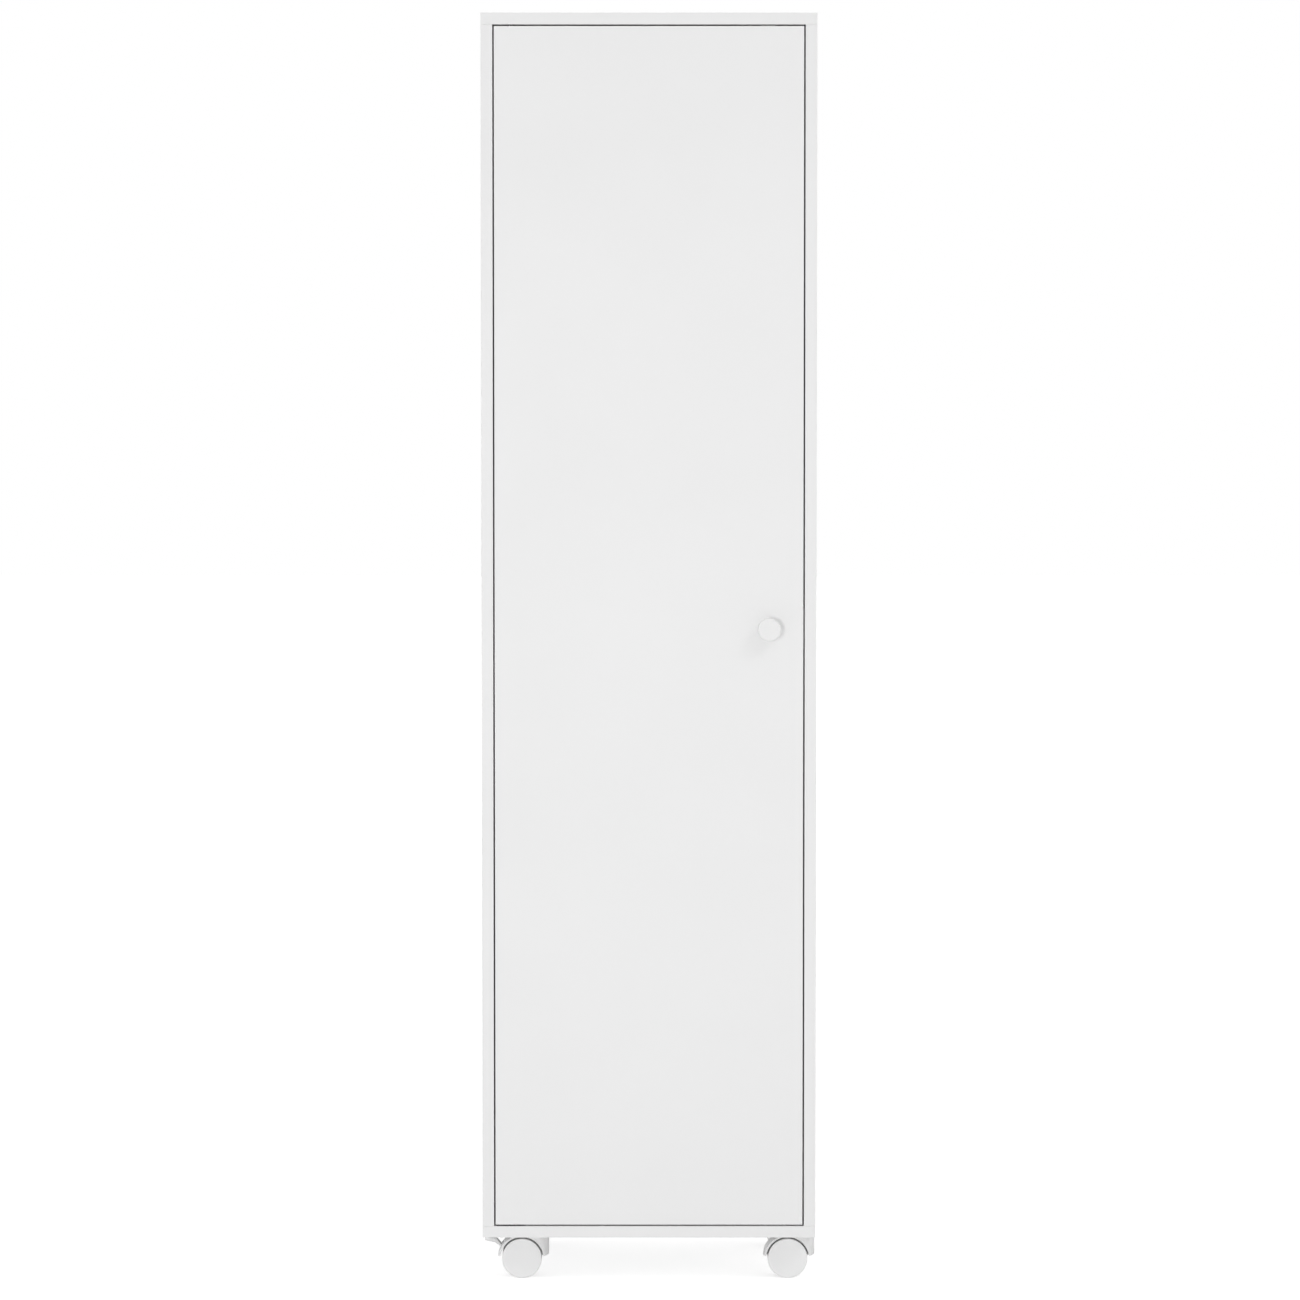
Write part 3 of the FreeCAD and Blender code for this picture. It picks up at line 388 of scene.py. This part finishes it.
def driven_face(bm, height, slot_reach, slot_width, slot_depth):
    """Closes the open ring at height with a flat face that has a cross recess pressed into it."""
    ring = [edge for edge in bm.edges if edge.is_boundary
            and all(abs(vert.co.z - height) < same_ring for vert in edge.verts)]
    half = slot_width / 2
    cross = []
    for arm in range(recess_arms):
        turn = Matrix.Rotation(math.tau * arm / recess_arms, 3, "Z")
        for across, along in ((slot_reach, -half), (slot_reach, half), (half, half)):
            cross.append(bm.verts.new(turn @ Vector((across, along, height))))
    outline = [bm.edges.new(pair) for pair in zip(cross, cross[1:] + cross[:1])]
    bmesh.ops.triangle_fill(bm, edges=ring + outline, use_beauty=True, use_dissolve=False)
    walls = bmesh.ops.extrude_edge_only(bm, edges=outline)["geom"]
    floor_verts = [item for item in walls if isinstance(item, bmesh.types.BMVert)]
    bmesh.ops.translate(bm, verts=floor_verts, vec=(0, 0, -slot_depth))
    bmesh.ops.scale(bm, verts=floor_verts, vec=(recess_taper, recess_taper, 1.0))
    floor_edges = [item for item in walls if isinstance(item, bmesh.types.BMEdge)]
    bmesh.ops.triangle_fill(bm, edges=floor_edges, use_beauty=True, use_dissolve=False)


def stand(bm, place, outward):
    """Moves what was drawn along the Z axis, so that Z points outward from place."""
    rotation = Vector((0, 0, 1)).rotation_difference(Vector(outward)).to_matrix()
    bmesh.ops.transform(bm, verts=bm.verts, matrix=Matrix.Translation(place) @ rotation.to_4x4())


def add_to(group, bm):
    """Adds one finished solid to a group of like ones."""
    mesh = bpy.data.meshes.new("solid")
    bm.to_mesh(mesh)
    bm.free()
    group.from_mesh(mesh)
    bpy.data.meshes.remove(mesh)


def finished_piece(name, bm, body, material, replaced):
    """Makes the mesh an object that rides on its body and stands for the CAD nodes it replaces."""
    bmesh.ops.recalc_face_normals(bm, faces=bm.faces)
    mesh = bpy.data.meshes.new(name)
    bm.to_mesh(mesh)
    bm.free()
    mesh.shade_smooth()
    mesh.set_sharp_from_angle(angle=smooth_angle)
    mesh.materials.append(material)
    piece = bpy.data.objects.new(name, mesh)
    bpy.context.scene.collection.objects.link(piece)
    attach(piece, body)
    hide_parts(*replaced)


cam_chamfer = 0.0006
cam_lip = 0.0012
cam_steps = 40
cam_slot = {"slot_reach": 0.0048, "slot_width": 0.0017, "slot_depth": 0.0035}

cams = bmesh.new()
for low, high in separate_solids("cam_locks"):
    radius = (high.z - low.z) / 2
    depth = high.x - low.x
    side = 1.0 if low.x > 0 else -1.0
    bm = bmesh.new()
    turned(bm, [(0.0, -depth), (radius, -depth), (radius, -cam_chamfer), (radius - cam_chamfer, 0.0),
                (radius - cam_lip, 0.0), (radius - cam_lip - cam_chamfer, -cam_chamfer)], cam_steps)
    driven_face(bm, -cam_chamfer, **cam_slot)
    face = Vector((low.x if side > 0 else high.x, (low.y + high.y) / 2, (low.z + high.z) / 2))
    stand(bm, face, (-side, 0, 0))
    add_to(cams, bm)
casting = zinc_finish("zinc_casting", 0.42)
finished_piece("cam_locks_cast", cams, "carcass", casting.material, ("cam_locks",))


# Shelf: a loose board, lacquered like the carcass, with a banded front edge. It lies on four
# zinc-plated steel pegs that are pushed into holes in the sides.
lacquer_board("upper_shelf")
plated.dress("shelf_pegs")


# Hook rail: a lacquered batten under the shelf, dowelled between the sides. Three zinc-plated steel
# hooks for broom handles are screwed into it.
lacquer_board("hook_rail")
plated.dress("broom_hooks")


# Door: one board, lacquered a shade whiter than the carcass. It closes flush with the front edges,
# with a narrow shadow gap all round.
door_white = (0.865, 0.865, 0.865)

lacquer_board("door", door_white)


# Pivot hinges: a small steel plate let into the board above and below, a blued steel pin in it, and
# a brass bush in the edge of the door. A dark grey acetal washer carries the door's weight.
steel_blued = (0.10, 0.10, 0.108)
steel_rubbed = (0.17, 0.17, 0.175)
brass_yellow = (0.78, 0.60, 0.30)
brass_brown = (0.60, 0.44, 0.20)


def steel_finish(name, colour, worn, roughness):
    """Turned steel, with fine rings round its axis where the tool has passed."""
    steel = Finish(name, colour, roughness, metallic=1.0)
    turning = steel.noise(2400.0, detail=2.0, stretch=(6.0, 6.0, 1.0))
    steel.mottle(turning, worn, roughness - 0.08, roughness + 0.10)
    steel.bump(turning, 0.00001, 0.5)
    return steel


steel_finish("blued_steel", steel_blued, steel_rubbed, 0.42).dress("top_pivot_pin", "bottom_pivot_pin")
plated.dress("top_pivot_plate", "bottom_pivot_plate")

brass = Finish("turned_brass", brass_yellow, 0.3, metallic=1.0)
tarnish = brass.noise(420.0, detail=4.0)
brass.mottle(tarnish, brass_brown, 0.22, 0.42)
brass.bump(tarnish, 0.00001, 0.5)
brass.dress("top_pivot_bush", "bottom_pivot_bush")

acetal_grey = (0.09, 0.09, 0.092)
acetal_rubbed = (0.13, 0.13, 0.13)
acetal = Finish("grey_acetal", acetal_grey, 0.5)
rubbing = acetal.noise(500.0, detail=3.0)
acetal.mottle(rubbing, acetal_rubbed, 0.38, 0.55)
acetal.bump(rubbing, 0.00001, 0.5)
acetal.dress("thrust_washer")


# Screws: zinc-plated steel, each with a cross recess in its head and a thread on its shank. The
# castors, pivots and strike plate have countersunk ones, and the catch, stops and knob pan heads.
thread_pitch = 0.0012
thread_depth = 0.22
screw_steps = 20
small_head = 0.002
small_shank = 0.5
knob_head = 0.0025
knob_shank = 0.444
head_flat = 0.74
pan_crown = 0.9
pan_crown_drop = 0.16
pan_rim_drop = 0.5
recess_share = {"slot_reach": 0.56, "slot_width": 0.2, "slot_depth": 0.34}
half_way_up = (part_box("door")[0].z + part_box("door")[1].z) / 2


def screw(place, outward, head_radius, head_height, shank_radius, shank_length, kind):
    """A screw whose head's top, or flush face, is at place and looks outward."""
    bm = bmesh.new()
    flat = head_radius * head_flat
    if kind == "countersunk":
        head = [(flat, 0.0), (head_radius, 0.0), (shank_radius, -head_height)]
    else:
        head = [(flat, 0.0), (head_radius * pan_crown, -head_height * pan_crown_drop),
                (head_radius, -head_height * pan_rim_drop), (head_radius, -head_height),
                (shank_radius, -head_height)]
    depth = head_height
    shank = []
    while depth + thread_pitch < head_height + shank_length:
        shank.append((shank_radius, -depth - thread_pitch / 2))
        shank.append((shank_radius * (1 - thread_depth), -depth - thread_pitch))
        depth += thread_pitch
    shank.append((0.0, -head_height - shank_length))
    turned(bm, head + shank, screw_steps)
    sizes = {key: share * head_radius for key, share in recess_share.items()}
    driven_face(bm, 0.0, **sizes)
    stand(bm, place, outward)
    return bm


def axis_ends(low, high, outward):
    """The middle of the end of a box that looks outward, and the box's length that way."""
    axis = next(axis for axis in range(3) if outward[axis])
    place = (low + high) / 2
    place[axis] = high[axis] if outward[axis] > 0 else low[axis]
    return place, high[axis] - low[axis]


def into_the_cupboard(low, high):
    """Up for a screw at the foot of the cupboard, and down for one at its top."""
    return (0, 0, 1 if low.z < half_way_up else -1)


def screw_set(node, body, outward_of, head_height, shank_share, kind):
    """Replaces a node of screws. Each screw's head is as wide as the solid's box."""
    group = bmesh.new()
    for low, high in separate_solids(node):
        outward = outward_of(low, high)
        place, length = axis_ends(low, high, outward)
        head_radius = min(high[axis] - low[axis] for axis in range(3) if not outward[axis]) / 2
        shank = (head_radius * shank_share, length - head_height)
        add_to(group, screw(place, outward, head_radius, head_height, *shank, kind))
    finished_piece(f"{node}_cut", group, body, plated.material, (node,))


screw_set("castor_screws", "carcass", lambda low, high: (0, 0, -1), small_head, small_shank, "countersunk")
screw_set("pivot_screws", "carcass", into_the_cupboard, small_head, small_shank, "countersunk")
screw_set("strike_screws", "door", lambda low, high: (0, 1, 0), small_head, small_shank, "countersunk")
screw_set("catch_screws", "carcass", lambda low, high: (-1, 0, 0), small_head, small_shank, "pan")
screw_set("stop_screws", "carcass", into_the_cupboard, small_head, small_shank, "pan")
screw_set("knob_screw", "door", lambda low, high: (0, 1, 0), knob_head, knob_shank, "pan")


# Knob: turned from beech and lacquered white, a little glossier than the door. One screw through the
# door holds it from behind.
knob_white = (0.848, 0.848, 0.846)
knob_shade = 0.98
knob = Finish("lacquer_knob", knob_white, 0.34, coat=0.3, coat_roughness=0.2)
skin = knob.noise(30.0, detail=3.0)
knob.mottle(skin, tuple(part * knob_shade for part in knob_white), 0.3, 0.4, stops=(0.35, 0.75))
knob.bump(knob.noise(600.0, detail=2.0), 0.00002, 0.4)
knob.dress("knob")


# Catch and stops: a moulded housing with a ferrite magnet, a steel strike plate on the door, and two
# moulded blocks with soft clear buffers that the door closes against.
moulding_round = 0.0006
flat_angle = math.radians(1)
corner_angle = math.radians(40)
round_segments = 2


def softened(node, body, material, width):
    """A copy of a CAD node with its triangles joined up and its sharp edges rounded as moulded."""
    bm = bmesh.new()
    bm.from_mesh(nodes[node].data)
    bmesh.ops.remove_doubles(bm, verts=bm.verts, dist=same_ring)
    bmesh.ops.dissolve_limit(bm, angle_limit=flat_angle, verts=bm.verts, edges=bm.edges)
    joined = [edge for edge in bm.edges if len(edge.link_faces) == 2]
    sharp = [edge for edge in joined if edge.calc_face_angle() > corner_angle]
    bmesh.ops.bevel(bm, geom=sharp, offset=width, offset_type="OFFSET", affect="EDGES",
                    segments=round_segments, profile=0.5, material=-1, clamp_overlap=True)
    bmesh.ops.triangulate(bm, faces=bm.faces)
    finished_piece(f"{node}_moulded", bm, body, material, (node,))


nylon_white = (0.83, 0.83, 0.82)
nylon_shade = (0.805, 0.805, 0.793)
nylon = Finish("moulded_nylon", nylon_white, 0.5)
haze = nylon.noise(120.0, detail=4.0)
nylon.mottle(haze, nylon_shade, 0.42, 0.58)
nylon.bump(nylon.noise(1500.0, detail=2.0), 0.00003, 0.5)
for node in ("catch_housing", "door_stops"):
    softened(node, "carcass", nylon.material, moulding_round)
plated.dress("strike_plate")

ferrite_black = (0.075, 0.075, 0.08)
ferrite_grey = (0.13, 0.13, 0.135)
ferrite = Finish("ferrite", ferrite_black, 0.55)
pits = ferrite.noise(900.0, detail=4.0)
ferrite.mottle(pits, ferrite_grey, 0.45, 0.7, stops=(0.45, 0.75))
ferrite.bump(pits, 0.00005, 0.6)
ferrite.dress("catch_magnet")

rubber_clear = (0.72, 0.73, 0.73)
rubber_dull = (0.62, 0.63, 0.63)
rubber = Finish("clear_rubber", rubber_clear, 0.3)
smear = rubber.noise(300.0, detail=3.0)
rubber.mottle(smear, rubber_dull, 0.22, 0.42)
rubber.bump(smear, 0.00004, 0.5)
rubber.dress("door_buffers")


# Castor plates, kingpins and axles: a pressed steel plate, powder coated white, is screwed under the
# bottom board. The ground steel kingpin is riveted into it, and the wheels' axle is of the same steel.
corners = ("front_left", "front_right", "rear_left", "rear_right")
powder_white = (0.82, 0.82, 0.818)
powder_shade = (0.78, 0.78, 0.775)
steel_bright = (0.63, 0.63, 0.64)
steel_worn = (0.50, 0.50, 0.51)
powder = Finish("powder_coat", powder_white, 0.45)
peel = powder.noise(700.0, detail=2.0)
powder.colour(powder.tint(powder.ramp(powder.noise(60.0), 0.4, 0.75), powder_white, powder_shade))
powder.roughness(powder.ramp(peel, 0.3, 0.7, 0.38, 0.52))
powder.bump(peel, 0.00006, 0.5)
ground_steel = steel_finish("ground_steel", steel_bright, steel_worn, 0.26)
for corner in corners:
    powder.dress(f"castor_plate_{corner}")
    ground_steel.dress(f"kingpin_{corner}", f"castor_axle_{corner}")


# Castor hoods and brake levers: white mouldings with rounded edges and a fine spark-eroded skin. A
# little dust lies on them in faint patches.
braked_corners = ("front_left", "rear_right")
hood_white = (0.81, 0.81, 0.81)
hood_dusty = (0.70, 0.695, 0.68)
dust_share = 0.35
light_share = 0.5
light_reach = 0.004
hood_round = 0.0005
lever_round = 0.0012

hood_plastic = Finish("moulded_hood", hood_white, 0.4, coat=0.1, coat_roughness=0.3)
dust = hood_plastic.ramp(hood_plastic.noise(55.0, detail=5.0), 0.45, 0.8)
hood_plastic.colour(hood_plastic.tint(dust * dust_share, hood_white, hood_dusty))
hood_plastic.roughness(hood_plastic.ramp(dust, 0.0, 1.0, 0.36, 0.5))
hood_plastic.bump(hood_plastic.noise(1400.0, detail=2.0), 0.00003, 0.5)
hood_plastic.depth(light_share, light_reach)
for corner in corners:
    hood = f"castor_hood_{corner}"
    softened(hood, f"castor_{corner}", hood_plastic.material, hood_round)
for corner in braked_corners:
    lever = f"brake_lever_{corner}"
    softened(lever, f"lever_{corner}", hood_plastic.material, lever_round)


# Wheels: two to a castor, moulded in hard white nylon. Each has a plain outer disc and is hollow
# behind, with ribs from hub to rim. The tread is scuffed and a little grey, and the ring round the
# disc's rounded edge is darkened further as painted edge shade.
wheel_white = (0.875, 0.875, 0.875)
# Tread colour: a grey, scuffed tread, made darker still as painted shade on the wheel's rounded edge.
wheel_tread_grey_and_edge_shade = (0.62, 0.617, 0.605)
wheel_steps = 96
wheel_shoulder = 0.0012
shoulder_steps = 4
wheel_face_ring = 0.0004
wheel_edge = 0.0004
wheel_rim_inner = 0.0225
wheel_hub_radius = 0.009
wheel_bore_radius = 0.00303
wheel_recess = 0.011
wheel_bore_depth = 0.0143
rib_count = 8
rib_thickness = 0.0014
rib_drop = 0.002
rib_overlap = 0.001
tread_edge = 0.0010
tread_full = 0.0003
# The least darkening of the tread ring, part grey tyre and part painted edge shade; the swing adds scuffs.
tread_grey_and_shade_least = 0.55
scuff_swing = 0.25


def wheel_profile(radius, width):
    """Half of a wheel's section, from the middle of its outer disc round to the end of its bore."""
    profile = [(0.0, width), (radius - wheel_shoulder - wheel_face_ring, width)]
    for step in range(shoulder_steps + 1):
        turn = math.radians(90 * step / shoulder_steps)
        profile.append((radius - wheel_shoulder + wheel_shoulder * math.sin(turn),
                        width - wheel_shoulder + wheel_shoulder * math.cos(turn)))
    return profile + [
        (radius, wheel_shoulder),
        (radius - wheel_edge, wheel_edge),
        (radius - wheel_shoulder, 0.0),
        (wheel_rim_inner + wheel_edge, 0.0),
        (wheel_rim_inner, wheel_edge),
        (wheel_rim_inner, wheel_recess),
        (wheel_hub_radius, wheel_recess),
        (wheel_hub_radius, wheel_edge),
        (wheel_hub_radius - wheel_edge, 0.0),
        (wheel_bore_radius, 0.0),
        (wheel_bore_radius, wheel_bore_depth),
        (0.0, wheel_bore_depth),
    ]


def add_ribs(bm):
    """Upright ribs from hub to rim, which stop a little short of the wheel's open side."""
    reach = wheel_rim_inner - wheel_hub_radius + rib_overlap
    rise = wheel_recess - rib_drop
    place = ((wheel_hub_radius + wheel_rim_inner) / 2, 0, rib_drop + rise / 2)
    for rib in range(rib_count):
        block = bmesh.ops.create_cube(bm, size=1.0)["verts"]
        turn = Matrix.Rotation(math.tau * rib / rib_count, 3, "Z")
        bmesh.ops.scale(bm, verts=block, vec=(reach, rib_thickness, rise))
        bmesh.ops.translate(bm, verts=block, vec=place)
        bmesh.ops.rotate(bm, verts=block, cent=(0, 0, 0), matrix=turn)


def wheel_finish(name, middle, outward, radius):
    """White nylon with a scuffed grey tread, darkened further round the disc's rounded edge as painted
    edge shade. The tread ring is found by its distance from the axle's line.
    """
    wheel = Finish(name, wheel_white, 0.42)
    offset = wheel.make("VectorMath", {"operation": "SUBTRACT"}, {0: wheel.place, 1: tuple(middle)})
    length = wheel.make("VectorMath", {"operation": "LENGTH"}, {0: offset}, output=1)
    along = wheel.make("VectorMath", {"operation": "DOT_PRODUCT"}, {0: offset, 1: tuple(outward)},
                       output=1)
    square = length * length - along * along
    from_axle = square.math("SQRT", square, 0.0)
    tread = wheel.ramp(from_axle, radius - tread_edge, radius - tread_full)
    scuff = wheel.ramp(wheel.noise(520.0, detail=4.0), 0.35, 0.7)
    # Darkens the tread ring: a grey scuffed tread, plus painted shade on the disc's rounded edge.
    worn = tread * (tread_grey_and_shade_least + scuff_swing * scuff)
    wheel.colour(wheel.tint(worn, wheel_white, wheel_tread_grey_and_edge_shade))
    wheel.roughness(wheel.ramp(tread * scuff, 0.0, 1.0, 0.4, 0.62))
    wheel.bump(wheel.noise(1100.0, detail=3.0) + tread * scuff, 0.00004, 0.5)
    return wheel


for corner in corners:
    axle_low, axle_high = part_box(f"castor_axle_{corner}")
    axle_middle = (axle_low + axle_high) / 2
    for side in ("near", "far"):
        node = f"wheel_{corner}_{side}"
        low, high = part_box(node)
        middle = (low + high) / 2
        outward = (middle - axle_middle).normalized()
        width = min(high.x - low.x, high.y - low.y)
        radius = (high.z - low.z) / 2
        bm = bmesh.new()
        turned(bm, wheel_profile(radius, width), wheel_steps)
        add_ribs(bm)
        inner_side = axle_middle + outward * ((middle - axle_middle).length - width / 2)
        stand(bm, inner_side, outward)
        nylon_wheel = wheel_finish(f"nylon_{node}", middle, outward, radius)
        finished_piece(f"{node}_moulded", bm, node, nylon_wheel.material, (node,))
